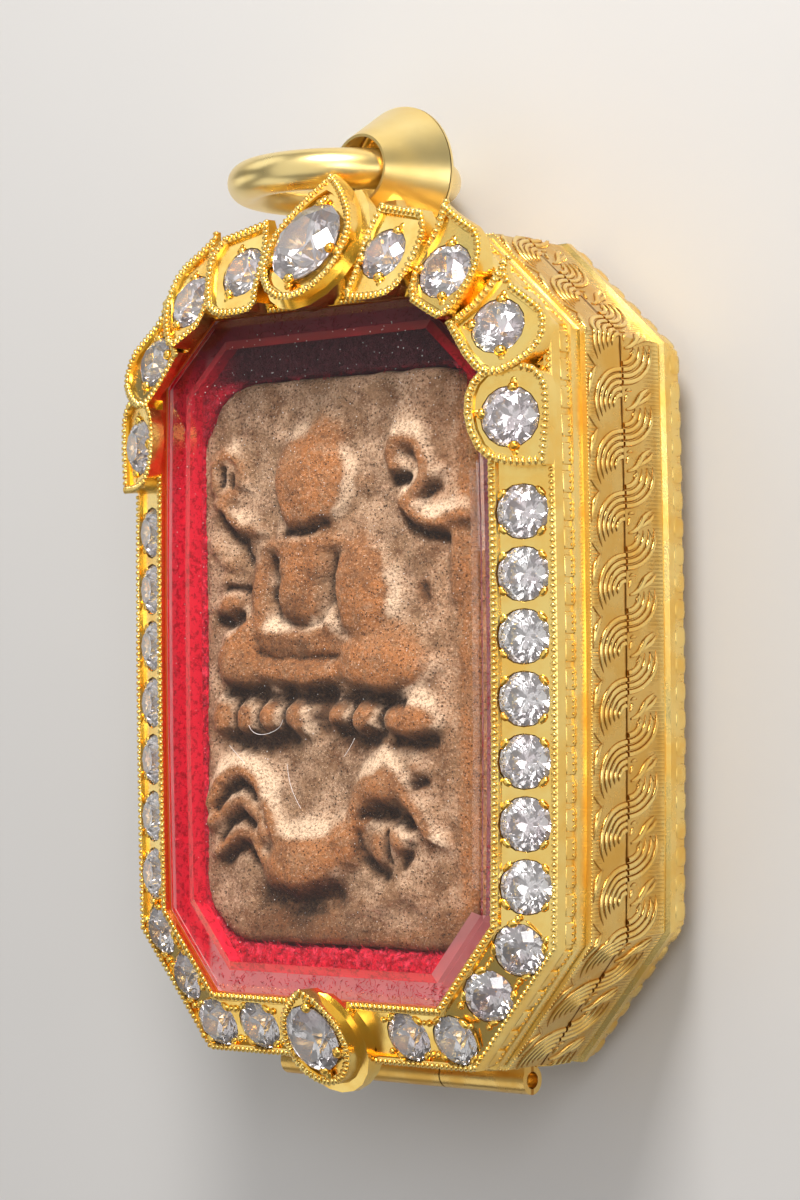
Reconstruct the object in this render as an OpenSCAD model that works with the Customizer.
// Locket-case pendant that holds a pressed-clay votive tablet, lying on its back.
// X runs across the case, Y towards the bail, Z up from the back plate to the bezel.
// The origin is the centre of the back plate's flat face. All lengths are in millimetres.

/* [Case outline] */
// Width between the straight parts of the side bands
case_w = 30.3; // [29:0.1:33]
// Length between the straight parts of the end bands
case_len = 43.74; // [42:0.1:47]
// How far each top corner is cut back along X
top_corner_x = 5.87; // [5:0.01:6.6]
// How far each top corner is cut back along Y
top_corner_y = 5.33; // [4.6:0.01:6]
// How far each bottom corner is cut back along X
bottom_corner_x = 5.46; // [4.8:0.01:6.2]
// How far each bottom corner is cut back along Y
bottom_corner_y = 6.49; // [5.8:0.01:7]
// How far the long sides bulge in their middle
side_bow = 0.22; // [0:0.01:0.5]
// How much more the corners are cut back at the rear rim than at the bezel
rear_corner_in = 0.5; // [0:0.05:0.8]

/* [Case section] */
// Height of the plane where the two halves of the case part
seam_z = 6.7; // [6:0.1:7.4]
// Gap between the two halves
seam_gap = 0.08; // [0.04:0.01:0.14]
// Height of the bezel's outer edge
front_edge_z = 12.2; // [11.8:0.1:13.4]
// Height of the plain step of the back plate that the case lies on
back_step = 1.2; // [1:0.1:1.5]
// Height of the case's inner floor
floor_z = 2.4; // [2.1:0.1:3]
// How far the engraved side band stands out from the bezel's outer edge
band_out = 0.15; // [0.05:0.01:0.3]
// How far the bead along the rear of the band stands out
rear_bead_out = 0.3; // [0.2:0.01:0.4]
// Width of the rear rim behind that bead
rear_rim_w = 0.95; // [0.8:0.05:1.1]
// Width of the brick strip under the bezel
brick_strip_w = 0.88; // [0.7:0.01:1]
// Width of the plain strip between the bezel and the brick strip
plain_strip_w = 0.66; // [0.5:0.01:0.8]
// Depth of the grooves along the side band
groove_depth = 0.28; // [0.15:0.01:0.4]

/* [Bezel] */
// Width of the bezel from its outer edge to the window
bezel_w = 3.3; // [3.2:0.05:3.8]
// Slope of the bezel, outwards and down
bezel_slope = 22.3; // [18:0.1:24]
// Thickness of the bezel at the window
bezel_t = 1.2; // [1:0.05:1.3]
// Width of the raised rail along the bezel's outer edge
outer_rail_w = 0.36; // [0.2:0.01:0.45]
// Width of the raised rail along the window
inner_rail_w = 0.42; // [0.2:0.01:0.45]
// Depth of the stone channel between the two rails
channel_depth = 0.14; // [0.05:0.01:0.2]
// How much farther in than the window the inner cavity begins, under the bezel
ledge_w = 0.55; // [0.45:0.05:0.6]

/* [Round stones] */
// Diameter of the round stones in the bezel
stone_d = 2.8; // [2.4:0.05:2.9]
// Gap between neighbouring stones in the bezel
stone_gap = 0.4; // [0.25:0.05:0.5]
// Most stones along each long side, fewer where they don't fit under the lowest leaf
side_count = 7; // [5:1:7]
// Distance of the stones' centres from the bezel's outer edge
stone_inset = 1.56; // [1.5:0.01:1.7]
// Distance of the lowest side stone from the bottom corner
side_start = 3.18; // [3:0.02:3.6]
// Distance of the first stone on a bottom corner from the corner's upper end
corner_start = 1.38; // [1.2:0.02:1.6]
// Distance of the inner bottom stones from the centre line
bottom_start = 5.47; // [5.2:0.02:5.8]
// Room round each stone in its seat
seat_gap = 0.06; // [0.03:0.01:0.08]

/* [Crown leaves] */
// Diameter of the largest leaf stone
leaf_stone_d = 3.1; // [2.8:0.05:3.3]
// Length that the leaves' outlines are given in
leaf_r = 2.3; // [2.1:0.05:2.4]
// How far the highest leaf's stone lies over the bezel's slope
leaf_rise = 1.25; // [1:0.05:1.4]
// Height of the leaf rim over the leaf's inner face
leaf_rim_h = 0.22; // [0.1:0.01:0.4]
// Width of the leaf rim
leaf_rim_w = 0.42; // [0.3:0.01:0.5]

/* [Pear leaves] */
// Distance of the top pear stone's centre below the case's top edge
top_pear_in = 0.07; // [0:0.01:0.6]
// Height of the top pear leaf's face over the window's edge
top_pear_rise = 0.58; // [0.4:0.02:0.8]
// Half width of the top pear leaf
top_pear_r = 3.0; // [2.8:0.05:3.1]
// Distance from the top pear stone's centre to the leaf's tip
top_pear_tip = 4.15; // [3.8:0.05:4.2]
// How far the top pear leaf leans back
top_pear_lean = 27.8; // [26:0.1:28]
// Width of the top pear stone
top_pear_stone_w = 4.3; // [3.9:0.05:4.5]
// Distance of the bottom pear stone's centre above the case's bottom edge
bottom_pear_in = 1.07; // [0.9:0.01:1.3]
// Height of the bottom pear leaf's face over the window's edge
bottom_pear_rise = 0.32; // [0.2:0.02:0.5]
// Half width of the bottom pear leaf
bottom_pear_r = 2.35; // [2.2:0.05:2.45]
// Distance from the bottom pear stone's centre to the leaf's tip
bottom_pear_tip = 2.9; // [2.7:0.05:3.1]
// How far the bottom pear leaf leans down
bottom_pear_lean = 23; // [21:0.1:24]
// Width of the bottom pear stone
bottom_pear_stone_w = 3.4; // [3.1:0.05:3.5]
// Height of the pear stones' girdles over their leaves' faces
pear_lift = 0.36; // [0.3:0.02:0.42]
// How far the lower step of a pear leaf stands out round the leaf
step_out = 0.5; // [0.3:0.05:0.6]
// How far that step lies below the leaf's rim
step_down = 0.9; // [0.7:0.05:1]

/* [Bail and ring] */
// Distance of the bail's centre above the case's top edge
bail_up = 4.63; // [4.4:0.01:5]
// Radius of the bail at the seam
bail_r = 3.78; // [3.5:0.01:3.9]
// Depth of the front half of the bail
front_cup_depth = 3.25; // [3.1:0.05:3.4]
// Radius of the hole in the front half of the bail
front_hole_r = 1.74; // [1.7:0.01:1.8]
// Depth of the rear half of the bail
rear_cup_depth = 1.1; // [0.9:0.05:1.3]
// Radius of the hole in the rear half of the bail
rear_hole_r = 2.4; // [2.3:0.05:2.6]
// Wall of the bail
bail_wall = 0.34; // [0.25:0.01:0.4]
// Half width of the foot that joins each half of the bail to the case
bail_foot_w = 2.1; // [1.6:0.1:2.4]
// Diameter of the ring's wire
ring_wire_d = 2.26; // [2:0.02:2.3]
// Radius of the ring's centre line
ring_r = 5.45; // [5.2:0.01:5.5]

/* [Hinge] */
// Outer radius of the hinge tube
hinge_r = 0.78; // [0.7:0.01:0.9]
// Radius of the hinge tube's bore
hinge_bore_r = 0.46; // [0.4:0.01:0.5]
// Radius of the hinge pin
hinge_pin_r = 0.42; // [0.36:0.01:0.44]
// Length of the whole hinge
hinge_len = 17.8; // [15:0.1:18.4]
// Gap between neighbouring knuckles
knuckle_gap = 0.08; // [0.05:0.01:0.15]
// How deep the pin's ends lie in the tube
pin_recess = 0.7; // [0.3:0.05:1.2]

/* [Tablet, felt and crystal] */
// Width of the clay tablet
tablet_w = 20.9; // [18:0.1:21]
// Length of the clay tablet
tablet_len = 31; // [28:0.1:32.5]
// Thickness of the clay tablet without its relief
tablet_t = 6.2; // [5:0.1:6.6]
// How much lower than the case's centre the tablet lies
tablet_low = 0.4; // [0:0.05:0.8]
// Height of the relief over the tablet's face
relief_h = 0.95; // [0.7:0.05:1]
// Radius of the tablet's top corners
tablet_top_round = 3.6; // [2:0.1:4.4]
// Radius of the tablet's bottom corners
tablet_bottom_round = 3.4; // [3:0.1:4]
// How far the tablet's face stands out of the felt
tablet_rise = 0.35; // [0.2:0.05:0.4]
// Room between the tablet and the felt
felt_gap = 0.1; // [0.06:0.01:0.2]
// Thickness of the crystal over the tablet
crystal_t = 0.85; // [0.7:0.05:0.9]
// Thickness of the crystal's side walls
crystal_wall = 1.15; // [0.8:0.05:1.2]
// Thickness of the crystal's flange under the bezel
flange_t = 1.1; // [0.8:0.05:1.2]
// Room between the crystal and the case
crystal_gap = 0.06; // [0.04:0.01:0.1]

/* [Hidden] */
$fn = 48;
side_steps = 6;
half_w = case_w/2;
half_len = case_len/2;
window_z = front_edge_z + bezel_w*tan(bezel_slope);
ledge_z = window_z - bezel_t;
cavity = -(bezel_w - ledge_w);
flange_top = ledge_z - crystal_gap;
felt_top = flange_top - flange_t - crystal_gap;
tablet_face = felt_top + tablet_rise;
crystal_top = window_z - crystal_gap;

// Inner distance from a chamfer's line, measured along its normal
top_normal = [top_corner_y, top_corner_x]/norm([top_corner_x, top_corner_y]);
bottom_normal = [bottom_corner_y, -bottom_corner_x]/norm([bottom_corner_x, bottom_corner_y]);
bottom_along = [-bottom_corner_x, -bottom_corner_y]/norm([bottom_corner_x, bottom_corner_y]);

// Half of one end's corner: the point on the side and the point on the end, for an offset and a corner cut
function corner_side(cx, cy, out, cut) =
    let (n = [cy, cx]/norm([cx, cy]))
    [half_w + out, half_len - cy + (out - cut - n.x*out)/n.y];
function corner_end(cx, cy, out, cut) =
    let (n = [cy, cx]/norm([cx, cy]))
    [half_w - cx + (out - cut - n.y*out)/n.x, half_len + out];

// The eight-sided outline, offset outwards by out, with its corners cut back by cut more
function case_outline(out, cut=0) =
    let (
        low_side = corner_side(bottom_corner_x, bottom_corner_y, out, cut),
        low_end = corner_end(bottom_corner_x, bottom_corner_y, out, cut),
        high_side = corner_side(top_corner_x, top_corner_y, out, cut),
        high_end = corner_end(top_corner_x, top_corner_y, out, cut),
        right = [for (k = [0:side_steps])
            let (t = k/side_steps, bow = side_bow*(1 - pow(2*t - 1, 2)))
            [low_side.x + bow, -low_side.y + t*(high_side.y + low_side.y)]],
        left = [for (k = [side_steps:-1:0]) [-right[k].x, right[k].y]]
    )
    concat(right, [high_end, [-high_end.x, high_end.y]], left,
        [[-low_end.x, -low_end.y], [low_end.x, -low_end.y]]);

// A closed solid through a stack of rings with the same number of points
module loft(rings) {
    n = len(rings[0][0]);
    points = [for (ring = rings, p = ring[0]) [p.x, p.y, ring[1]]];
    walls = [for (i = [0:len(rings) - 2], k = [0:n - 1])
        [i*n + k, (i + 1)*n + k, (i + 1)*n + (k + 1)%n, i*n + (k + 1)%n]];
    low = [for (k = [0:n - 1]) k];
    high = [for (k = [n - 1:-1:0]) (len(rings) - 1)*n + k];
    polyhedron(points, concat([low], walls, [high]), convexity=4);
}

// Height of the bezel's sloping face at a distance in from its outer edge
function slope_z(inset) = front_edge_z + inset*tan(bezel_slope);

// A face that slopes down by lean towards the direction turn, as a place for a stone
module on_slope(place, turn, lean) {
    translate(place) rotate([0, 0, turn]) rotate([0, lean, 0]) children();
}

// Outline of a pear leaf round the origin with its tip on the +X side: a round back and two hollow shoulders
shoulder = 52;
function pear_outline(r, tip) =
    let (
        round_part = [for (k = [0:14]) let (a = shoulder + k*(360 - 2*shoulder)/14) r*[cos(a), sin(a)]],
        start = round_part[0],
        bend = start + 0.62*r*[sin(shoulder), -cos(shoulder)],
        side = [for (k = [1:3]) let (t = k/4)
            pow(1 - t, 2)*start + 2*t*(1 - t)*bend + t*t*[tip, 0]]
    )
    concat(round_part, [for (k = [0:2]) [side[k].x, -side[k].y]], [[tip, 0]], [for (k = [2:-1:0]) side[k]]);

// An outline with its points rounded off, apart from those marked 1 in their third column
function rounded(points) =
    let (n = len(points))
    [for (k = [0:n - 1], at = points[k].z == 1 ? [k] : [k - 1, k + 1])
        let (near = points[(at + n)%n], here = points[k], share = at == k ? 0 : 0.25)
        [here.x + share*(near.x - here.x), here.y + share*(near.y - here.y)]];

// Turns and moves a flat outline
function placed(points, turn, at) =
    [for (p = points) at + [p.x*cos(turn) - p.y*sin(turn), p.x*sin(turn) + p.y*cos(turn)]];

// An upright prism on a flat outline, cut off by a sloping plane
module sloped_prism(points, low, place, turn, lean) {
    reach = 12;
    difference() {
        translate([0, 0, low]) linear_extrude(reach) polygon(points);
        on_slope(place, turn, lean) translate([-reach, -reach, 0]) cube([2*reach, 2*reach, 2*reach]);
    }
}

// Each crown leaf: the shares of the half width and half length where its stone lies, the stone's rise and
// its diameter as shares of the largest
leaf_table = [
    ["leaf_1", [0.340, 0.957], 1.00, 0.94],
    ["leaf_2", [0.617, 0.899], 0.50, 1.00],
    ["leaf_3", [0.832, 0.757], 0.40, 0.95],
    ["leaf_4", [0.897, 0.540], 0.66, 1.00],
];

// Their outlines round the stone, in shares of leaf_r, starting at the tip: across, along, and 1 at a corner
leaf_shapes = [
    [[-0.45, 1.25, 1], [0.95, 0.95, 1], [1.25, 0.45, 0], [1.10, -0.30, 0], [0.75, -1.00, 0],
        [-0.10, -1.10, 0], [-0.85, -1.00, 0], [-0.70, -0.30, 0], [-0.70, 0.50, 0]],
    [[-0.45, 1.70, 1], [0.05, 1.30, 0], [0.75, 0.90, 0], [0.98, 0.20, 0], [0.80, -0.50, 0],
        [0.30, -1.20, 0], [-0.20, -0.95, 0], [-0.80, -0.60, 0], [-0.80, 0.45, 0], [-0.50, 0.95, 0]],
    [[-0.05, 1.60, 1], [0.10, 1.05, 0], [0.60, 0.70, 0], [1.15, 0.30, 0], [1.25, -0.40, 0],
        [0.80, -0.90, 0], [0.10, -1.20, 0], [-0.45, -0.90, 0], [-1.20, 0.12, 1], [-0.50, 0.72, 0]],
    [[0.80, -1.08, 1], [0.10, -1.10, 0], [-0.60, -0.90, 0], [-0.95, -0.10, 0], [-0.90, 0.70, 0],
        [-0.45, 1.18, 0], [0.45, 1.22, 0], [0.85, 0.85, 0], [0.92, 0.20, 0], [0.86, -0.50, 0]],
];
leaf_turns = [90, 70, atan2(top_normal.y, top_normal.x), 0];

function leaf_at(i) = [half_w*leaf_table[i][1].x, half_len*leaf_table[i][1].y];
function leaf_inset(i) = i == 3 ? half_w - leaf_at(i).x
    : i == 2 ? -(leaf_at(i) - [half_w, half_len - top_corner_y])*top_normal
    : half_len - leaf_at(i).y;
function leaf_place(i) = [leaf_at(i).x, leaf_at(i).y, slope_z(leaf_inset(i)) + leaf_rise*leaf_table[i][2]];

// Pear leaves: where the stone lies, which way the tip points and how far the face leans
top_pear_at = [0, half_len - top_pear_in];
top_pear_face = window_z + top_pear_rise;
bottom_pear_at = [0, -half_len + bottom_pear_in];
bottom_pear_face = window_z + bottom_pear_rise;
top_pear_place = [top_pear_at.x, top_pear_at.y, top_pear_face + pear_lift];
bottom_pear_place = [bottom_pear_at.x, bottom_pear_at.y, bottom_pear_face + pear_lift];

// Every stone: name, place, direction of its slope, lean, width and length over width
pitch = stone_d + stone_gap;
low_corner = [half_w, -half_len + bottom_corner_y];
girdle_z = slope_z(stone_inset) - channel_depth;
side_room = leaf_at(3).y - leaf_r - low_corner.y - side_start;
side_fit = min(side_count, floor(side_room/pitch) + 1);
side_stones = [for (side = [1, -1], k = [0:side_fit - 1])
    [str(side > 0 ? "stone_right_" : "stone_left_", k + 1),
        [side*(half_w - stone_inset), low_corner.y + side_start + k*pitch, girdle_z],
        side > 0 ? 0 : 180, bezel_slope, stone_d, 1]];
corner_stones = [for (side = [1, -1], k = [0:1])
    let (p = low_corner + bottom_along*(corner_start + k*pitch) - bottom_normal*stone_inset,
        turn = atan2(bottom_normal.y, bottom_normal.x))
    [str(side > 0 ? "stone_corner_right_" : "stone_corner_left_", k + 1),
        [side*p.x, p.y, girdle_z], side > 0 ? turn : 180 - turn, bezel_slope, stone_d, 1]];
bottom_stones = [for (side = [1, -1], k = [0:1])
    [str(side > 0 ? "stone_bottom_right_" : "stone_bottom_left_", k + 1),
        [side*(bottom_start + k*pitch), -half_len + stone_inset, girdle_z], -90, bezel_slope, stone_d, 1]];
leaf_stones = [for (side = [1, -1], i = [0:3])
    let (p = leaf_place(i))
    [str(side > 0 ? "stone_leaf_right_" : "stone_leaf_left_", i + 1),
        [side*p.x, p.y, p.z], side > 0 ? leaf_turns[i] : 180 - leaf_turns[i],
        bezel_slope, leaf_stone_d*leaf_table[i][3], 1]];
pear_length = 1.28;
pear_stones = [
    ["stone_pear_top", top_pear_place, 90, top_pear_lean, top_pear_stone_w, pear_length],
    ["stone_pear_bottom", bottom_pear_place, -90, bottom_pear_lean, bottom_pear_stone_w, pear_length],
];
STONES = concat(side_stones, corner_stones, bottom_stones, leaf_stones, pear_stones);

// Cut of the stones: heights and radii as shares of the stone's radius
crown_h = 0.32;
table_r = 0.55;
star_r = 0.80;
girdle_t = 0.05;
pavilion_h = 0.86;
lower_r = 0.26;

// Radius of a stone's outline at an angle: round, or drawn out to a soft tip for a pear
function outline_r(a, long) = long == 1 ? 1 : 1 + (long - 1)*pow((1 + cos(a))/2, 3);

// One facet point at angle a, at a share of the outline's radius
function facet_point(a, share, z, r, long) =
    [r*share*outline_r(a, long)*cos(a), r*share*outline_r(a, long)*sin(a), z*r];

// A brilliant-cut stone with its girdle in the XY plane and, for a pear, its tip on the +X side
module cut_stone(d, long) {
    r = d/2;
    star_z = crown_h*(1 - star_r*cos(22.5))/(1 - table_r);
    lower_z = -girdle_t - (pavilion_h - girdle_t)*(1 - lower_r*cos(22.5));
    table_points = [for (k = [0:7]) facet_point(45*k, table_r, crown_h, r, long)];
    star_points = [for (k = [0:7]) facet_point(45*k + 22.5, star_r, star_z, r, long)];
    upper_girdle = [for (k = [0:15]) facet_point(22.5*k, 1, 0, r, long)];
    lower_girdle = [for (k = [0:15]) facet_point(22.5*k, 1, -girdle_t, r, long)];
    lower_points = [for (k = [0:7]) facet_point(45*k + 22.5, lower_r, lower_z, r, long)];
    culet = [[0, 0, -pavilion_h*r]];
    points = concat(table_points, star_points, upper_girdle, lower_girdle, lower_points, culet);
    faces = concat(
        [[for (k = [7:-1:0]) k]],
        [for (k = [0:7]) [k, (k + 1)%8, 8 + k]],
        [for (k = [0:7]) [k, 8 + k, 16 + 2*k]],
        [for (k = [0:7]) [k, 16 + 2*k, 8 + (k + 7)%8]],
        [for (k = [0:7]) [8 + k, 16 + 2*k + 1, 16 + 2*k]],
        [for (k = [0:7]) [8 + k, 16 + (2*k + 2)%16, 16 + 2*k + 1]],
        [for (k = [0:15]) [16 + k, 16 + (k + 1)%16, 32 + (k + 1)%16, 32 + k]],
        [for (k = [0:7]) [48 + k, 32 + 2*k, 32 + 2*k + 1]],
        [for (k = [0:7]) [48 + k, 32 + 2*k + 1, 32 + (2*k + 2)%16]],
        [for (k = [0:7]) [56, 32 + 2*k, 48 + k]],
        [for (k = [0:7]) [56, 48 + (k + 7)%8, 32 + 2*k]]
    );
    polyhedron(points, faces, convexity=2);
}

module stone(s) {
    color("gainsboro") on_slope(s[1], s[2], s[3]) rotate([0, 0, pear_turn(s)]) cut_stone(s[4], s[5]);
}

// Turn of a stone in its own plane: both pears' tips point to the bail
function pear_turn(s) = s[5] != 1 && s[2] < 0 ? 180 : 0;

// The room that a stone takes in the metal: a cone for its point and a bore up through what lies over it
module stone_seat(s) {
    r = s[4]/2;
    sides = 16;
    over = 3;
    rim = [for (k = [0:sides - 1]) let (a = 360*k/sides) (r*outline_r(a, s[5]) + seat_gap)*[cos(a), sin(a)]];
    on_slope(s[1], s[2], s[3]) rotate([0, 0, pear_turn(s)]) hull() {
        translate([0, 0, -pavilion_h*r - seat_gap]) cylinder(h=0.05, r=0.1, $fn=sides);
        translate([0, 0, -girdle_t*r - seat_gap/2]) linear_extrude(over) polygon(rim);
    }
}

// The cup of one half of the bail, from low up to its lip: its curve falls from the seam to the lip
function cup_share(t) = t < 0.08 ? 1 : (1 + cos(180*(t - 0.08)/0.92))/2;
module cup(depth, hole_r, inset, low) {
    lip = hole_r + bail_wall;
    steps = 12;
    curve = [for (k = [0:steps]) let (t = k/steps) [lip + cup_share(t)*(bail_r - lip) - inset, t*depth]];
    foot = low < 0 ? [[0, low], [bail_r - inset, low]] : [[0, 0]];
    rotate_extrude() polygon(concat(foot, curve, [[0, depth]]));
}

// Half of the bail with its foot, standing on the seam plane and hollow
bail_y = half_len + bail_up;
module bail_half(depth, hole_r) {
    foot_h = depth*0.8;
    difference() {
        union() {
            translate([0, bail_y, 0]) cup(depth, hole_r, 0, 0);
            translate([-bail_foot_w, half_len - 1, 0]) cube([2*bail_foot_w, bail_up - bail_r/2 + 1, foot_h]);
        }
        translate([0, bail_y, 0]) cup(depth, hole_r, bail_wall, -1);
        translate([0, bail_y, -1]) cylinder(h=depth + 2, r=hole_r);
    }
}

// The knuckles between two places along the hinge, each with a web to the case
hinge_room = 0.06;
hinge_y = -half_len - band_out - hinge_r - hinge_room;
module knuckle(from, to, web_z) {
    difference() {
        union() {
            translate([from, hinge_y, seam_z]) rotate([0, 90, 0]) cylinder(h=to - from, r=hinge_r);
            translate([from, hinge_y, web_z])
                cube([to - from, hinge_r + 1, hinge_r*0.8]);
        }
        translate([from - 1, hinge_y, seam_z]) rotate([0, 90, 0]) cylinder(h=to - from + 2, r=hinge_bore_r);
    }
}

knuckle_len = (hinge_len - 2*knuckle_gap)/3;

// A crown leaf: a prism with a sloping top, and the dished face inside its rim
leaf_low = ledge_z + 0.05;
module leaf(i) {
    place = leaf_place(i);
    turn = leaf_turns[i];
    reach = 16;
    outline = rounded(leaf_shapes[i])*leaf_r;
    placed_outline = [for (p = outline) leaf_at(i) + p];
    difference() {
        sloped_prism(placed_outline, leaf_low, place + [0, 0, leaf_rim_h], turn, bezel_slope);
        intersection() {
            translate([place.x, place.y, leaf_low + 0.1]) linear_extrude(reach)
                offset(delta=-leaf_rim_w) polygon(outline);
            on_slope(place, turn, bezel_slope) translate([-reach/2, -reach/2, 0]) cube(reach);
        }
    }
}

// A pear leaf on two steps; out_low is how low its overhang beyond the case reaches
module pear_leaf(at, face, r, tip, down, lean, out_low) {
    reach = 40;
    step_tip_in = 0.4;
    over_window = 0.12;
    window_in = 0.03;
    overhang_in = 0.6;
    for (step = [0, 1]) {
        outline = placed(pear_outline(r + step*step_out, tip - step*step_tip_in), 90, at);
        top = [at.x, at.y, face + leaf_rim_h - step*step_down];
        difference() {
            union() {
                sloped_prism(outline, window_z + over_window, top, down, lean);
                intersection() {
                    sloped_prism(outline, leaf_low, top, down, lean);
                    linear_extrude(reach) difference() {
                        polygon(case_outline(0));
                        polygon(case_outline(-bezel_w + window_in));
                    }
                }
                intersection() {
                    sloped_prism(outline, out_low, top, down, lean);
                    linear_extrude(reach) difference() {
                        square(4*case_len, center=true);
                        polygon(case_outline(-overhang_in));
                    }
                }
            }
            if (step == 0)
                intersection() {
                    translate([0, 0, out_low + 0.05]) linear_extrude(reach)
                        polygon(placed(pear_outline(r - leaf_rim_w, tip - 2.2*leaf_rim_w), 90, at));
                    on_slope([at.x, at.y, face], down, lean) translate([-reach/2, -reach/2, 0]) cube(reach);
                }
        }
    }
}

// The front half of the case: side band, front half of the bail and the outer knuckles
strip_low = front_edge_z - plain_strip_w;
module front_case() {
    low = seam_z + seam_gap/2;
    brick_low = strip_low - brick_strip_w;
    ridge_w = 0.22;
    groove_w = 0.75;
    chamfer = 0.08;
    band_top = brick_low - ridge_w - groove_w - chamfer;
    seam_cut = rear_corner_in*0.4;
    color("goldenrod") difference() {
        union() {
            loft([
                [case_outline(band_out, seam_cut), low],
                [case_outline(band_out, seam_cut/2), band_top],
                [case_outline(band_out - groove_depth), band_top + chamfer],
                [case_outline(band_out - groove_depth), brick_low - ridge_w - chamfer],
                [case_outline(0.04), brick_low - ridge_w],
                [case_outline(0.04), brick_low],
                [case_outline(-groove_depth/2), brick_low + chamfer],
                [case_outline(-groove_depth/2), strip_low],
            ]);
            translate([0, 0, low]) bail_half(front_cup_depth, front_hole_r);
            for (side = [0, 1]) mirror([side, 0, 0])
                knuckle(knuckle_len/2 + knuckle_gap, hinge_len/2, low);
        }
        loft([[case_outline(cavity), low - 1], [case_outline(cavity), strip_low + 1]]);
    }
}

// The bezel on top of it: plain strip, two rails with the stone channel between them, and all the leaves
module bezel() {
    inner_rail = bezel_w - inner_rail_w;
    rail_h = channel_depth*0.6;
    top_pear_low = front_edge_z - 0.4;
    bottom_pear_low = front_edge_z - 0.6;
    color("goldenrod") difference() {
        union() {
            loft([
                [case_outline(0), strip_low],
                [case_outline(0), front_edge_z],
                [case_outline(-0.06), slope_z(0.06) + rail_h],
                [case_outline(-outer_rail_w), slope_z(outer_rail_w) + rail_h],
                [case_outline(-outer_rail_w - 0.06), slope_z(outer_rail_w) - channel_depth],
                [case_outline(-inner_rail + 0.06), slope_z(inner_rail) - channel_depth],
                [case_outline(-inner_rail), slope_z(inner_rail) + rail_h],
                [case_outline(-bezel_w - 0.5), window_z + rail_h],
            ]);
            for (side = [0, 1], i = [0:3]) mirror([side, 0, 0]) leaf(i);
            pear_leaf(top_pear_at, top_pear_face, top_pear_r, top_pear_tip, 90,
                top_pear_lean, top_pear_low);
            pear_leaf(bottom_pear_at, bottom_pear_face, bottom_pear_r, bottom_pear_tip, -90,
                bottom_pear_lean, bottom_pear_low);
        }
        loft([[case_outline(-bezel_w), ledge_z - 0.5], [case_outline(-bezel_w), window_z + 0.3]]);
        loft([[case_outline(cavity), strip_low - 1], [case_outline(cavity), ledge_z]]);
        for (s = STONES) stone_seat(s);
    }
}

// The rear half: back plate, rear rim, rear half of the bail and the middle knuckle
module back_case() {
    high = seam_z - seam_gap/2;
    rim_low = back_step + 0.4;
    bead_low = rim_low + rear_rim_w;
    bead_w = 0.75;
    seam_cut = rear_corner_in*0.4;
    plate_in = 2.2;
    color("goldenrod") difference() {
        union() {
            loft([
                [case_outline(-plate_in - 0.3, rear_corner_in), 0],
                [case_outline(-plate_in, rear_corner_in), 0.3],
                [case_outline(-plate_in, rear_corner_in), back_step],
                [case_outline(-0.6, rear_corner_in), back_step],
                [case_outline(band_out - 0.1, rear_corner_in), rim_low],
                [case_outline(band_out, rear_corner_in*0.8), bead_low - 0.1],
                [case_outline(rear_bead_out, rear_corner_in*0.7), bead_low + 0.1],
                [case_outline(rear_bead_out, rear_corner_in*0.6), bead_low + bead_w - 0.2],
                [case_outline(band_out - 0.1, rear_corner_in*0.6), bead_low + bead_w - 0.05],
                [case_outline(band_out - 0.1, rear_corner_in*0.6), bead_low + bead_w + 0.05],
                [case_outline(band_out, rear_corner_in*0.6), bead_low + bead_w + 0.15],
                [case_outline(band_out, seam_cut), high],
            ]);
            translate([0, 0, high]) mirror([0, 0, 1]) bail_half(rear_cup_depth, rear_hole_r);
            knuckle(-knuckle_len/2, knuckle_len/2, high - hinge_r*0.8);
        }
        loft([[case_outline(cavity), floor_z], [case_outline(cavity), high + 1]]);
    }
}

// The pin through all three knuckles, its ends sunk in the tube
module hinge_pin() {
    pin_len = hinge_len - 2*pin_recess;
    color("darkgoldenrod") translate([-pin_len/2, hinge_y, seam_z]) rotate([0, 90, 0])
        cylinder(h=pin_len, r=hinge_pin_r);
}

// The closed ring through both halves of the bail, swung over to the left
ring_rest = 0.02;
ring_z = ring_r + ring_wire_d/2 + ring_rest;
front_lip_z = seam_z + seam_gap/2 + front_cup_depth;
ring_x = -sqrt(pow(ring_r, 2) - pow(front_lip_z - ring_z, 2));
module jump_ring() {
    color("gold") translate([ring_x, bail_y, ring_z]) rotate([90, 0, 0])
        rotate_extrude($fn=72) translate([ring_r, 0]) circle(d=ring_wire_d, $fn=32);
}

// The clear cover: a bevelled cap in the window with a flange under the bezel, hollow over the tablet
module crystal() {
    out = -bezel_w - crystal_gap;
    flange_out = cavity - crystal_gap;
    bevel = 0.3;
    bottom = flange_top - flange_t;
    color("lightcyan", 0.4) difference() {
        union() {
            loft([
                [case_outline(out), bottom],
                [case_outline(out), crystal_top - bevel],
                [case_outline(out - bevel*1.6), crystal_top],
            ]);
            loft([[case_outline(flange_out), bottom], [case_outline(flange_out), flange_top]]);
        }
        loft([
            [case_outline(out - crystal_wall), bottom - 1],
            [case_outline(out - crystal_wall), crystal_top - crystal_t - bevel],
            [case_outline(out - crystal_wall - bevel*1.6), crystal_top - crystal_t],
        ]);
    }
}

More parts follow.
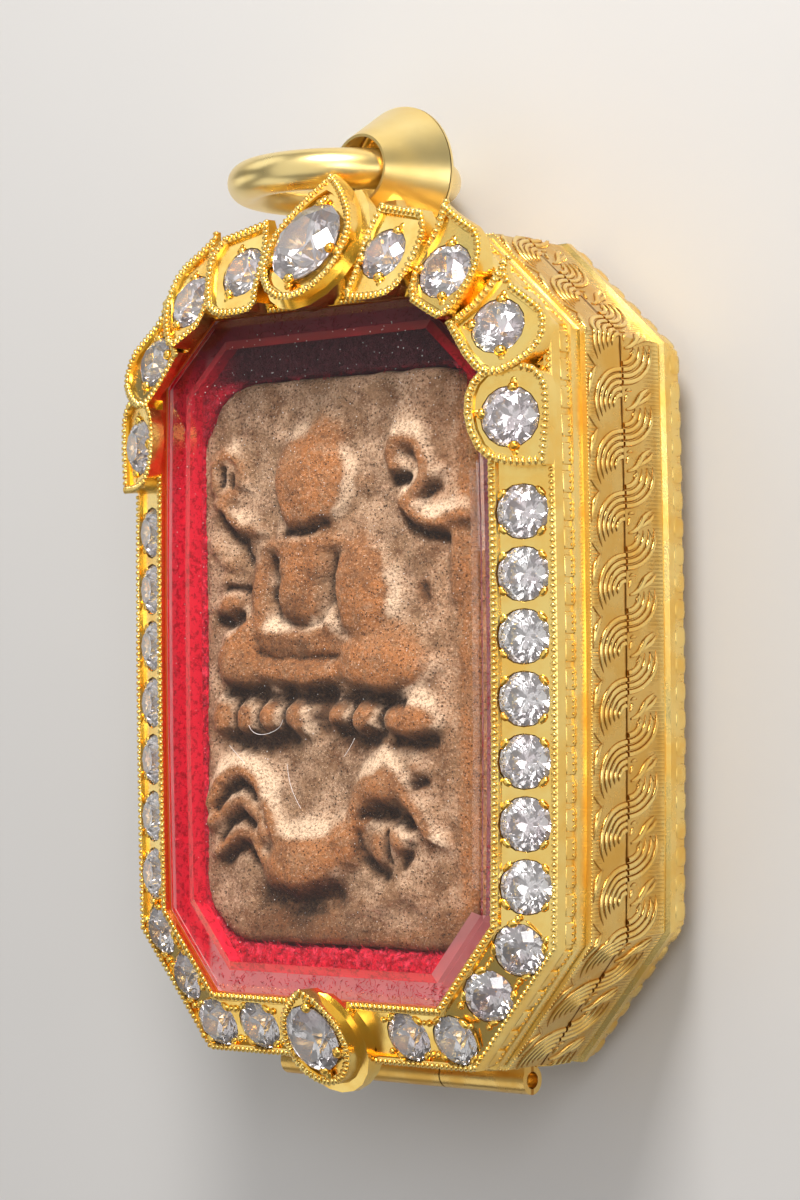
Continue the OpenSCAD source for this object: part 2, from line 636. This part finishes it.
// Outline of the tablet, grown by out: straight sides and four round corners
round_steps = 5;
function tablet_corner(sx, sy, r, out) =
    [for (k = [0:round_steps])
        let (a = 90*k/round_steps + (sx > 0 ? (sy > 0 ? 0 : -90) : (sy > 0 ? 90 : 180)))
        [sx*(tablet_w/2 - r) + (r + out)*cos(a), sy*(tablet_len/2 - r) - tablet_low + (r + out)*sin(a)]];
function tablet_outline(out) = concat(
    tablet_corner(1, -1, tablet_bottom_round, out),
    tablet_corner(1, 1, tablet_top_round, out),
    tablet_corner(-1, 1, tablet_top_round, out),
    tablet_corner(-1, -1, tablet_bottom_round, out));

// The felt that fills the case round and under the tablet
module felt_bed() {
    out = cavity - crystal_gap;
    low = floor_z + crystal_gap;
    edge = 0.3;
    pocket = tablet_outline(felt_gap);
    color("crimson") difference() {
        loft([
            [case_outline(out), low],
            [case_outline(out), felt_top - edge],
            [case_outline(out - edge), felt_top],
        ]);
        loft([[pocket, tablet_face - tablet_t - felt_gap], [pocket, felt_top + 1]]);
    }
}

// One rounded hill of the relief, in shares of the tablet's half width, half length and relief height
module mound(x, y, wide, long, high, turn=0) {
    translate([x*tablet_w/2, y*tablet_len/2 - tablet_low, tablet_face - 0.15]) rotate([0, 0, turn])
        hull() scale([wide*tablet_w/2, long*tablet_len/2, high*relief_h + 0.15]) sphere(r=1, $fn=12);
}

// One curved rib of the relief, from one angle to another round a centre
module rib(x, y, r, from, to, thick) {
    steps = 7;
    sides = 8;
    middle = [x*tablet_w/2, y*tablet_len/2 - tablet_low, tablet_face - 0.12];
    points = [for (k = [0:steps], j = [0:sides - 1])
        let (a = from + k*(to - from)/steps, b = 360*j/sides,
            t = thick*relief_h*(0.45 + 0.55*sin(180*k/steps)), q = r*tablet_w/2 + t*cos(b))
        middle + [q*cos(a), q*sin(a), t*sin(b)]];
    walls = [for (k = [0:steps - 1], j = [0:sides - 1])
        [k*sides + j, k*sides + (j + 1)%sides, (k + 1)*sides + (j + 1)%sides, (k + 1)*sides + j]];
    start = [for (j = [sides - 1:-1:0]) j];
    end = [for (j = [0:sides - 1]) steps*sides + j];
    polyhedron(points, concat([start], walls, [end]), convexity=4);
}

// The clay tablet: a seated figure on a row of beads, over a cockerel with a curved tail
module tablet() {
    color("peru") union() {
        loft([
            [tablet_outline(-0.5), tablet_face - tablet_t],
            [tablet_outline(0), tablet_face - tablet_t + 0.5],
            [tablet_outline(0), tablet_face - 0.7],
            [tablet_outline(-0.2), tablet_face - 0.2],
            [tablet_outline(-0.55), tablet_face],
        ]);
        mound(-0.17, 0.63, 0.28, 0.17, 0.95);
        mound(-0.13, 0.78, 0.11, 0.13, 0.6);
        mound(-0.15, 0.27, 0.42, 0.21, 0.8);
        mound(0.22, 0.25, 0.14, 0.20, 0.95);
        mound(-0.52, 0.25, 0.12, 0.20, 0.8);
        mound(-0.13, 0.0, 0.70, 0.12, 0.85);
        mound(0.38, 0.0, 0.25, 0.125, 0.95);
        mound(-0.70, -0.02, 0.17, 0.12, 0.85);
        for (x = [-0.85, -0.68, -0.49, -0.29, 0, 0.18]) mound(x, -0.195, 0.09, 0.055, 0.6);
        mound(0.49, -0.205, 0.15, 0.07, 0.75);
        mound(-0.26, -0.71, 0.36, 0.13, 0.9, 15);
        mound(0.08, -0.54, 0.15, 0.15, 0.7, -20);
        mound(0.27, -0.44, 0.19, 0.10, 0.85);
        mound(0.54, -0.39, 0.10, 0.05, 0.6);
        mound(0.28, -0.65, 0.07, 0.08, 0.7);
        mound(0.40, -0.60, 0.06, 0.08, 0.7, 20);
        mound(-0.83, 0.69, 0.10, 0.09, 0.6);
        mound(-0.82, 0.53, 0.09, 0.06, 0.6);
        mound(-0.88, 0.39, 0.08, 0.07, 0.6);
        mound(-0.83, 0.19, 0.11, 0.07, 0.6);
        mound(0.82, 0.30, 0.05, 0.13, 0.6);
        mound(0.70, 0.45, 0.14, 0.04, 0.6, -20);
        rib(0.48, 0.67, 0.16, -60, 200, 0.5);
        rib(-0.70, -0.58, 0.30, 10, 165, 0.6);
        rib(-0.72, -0.63, 0.20, 10, 165, 0.5);
        rib(-0.73, -0.70, 0.12, 10, 165, 0.45);
    }
}

front_case();
bezel();
back_case();
hinge_pin();
jump_ring();
crystal();
felt_bed();
tablet();
for (s = STONES) stone(s);
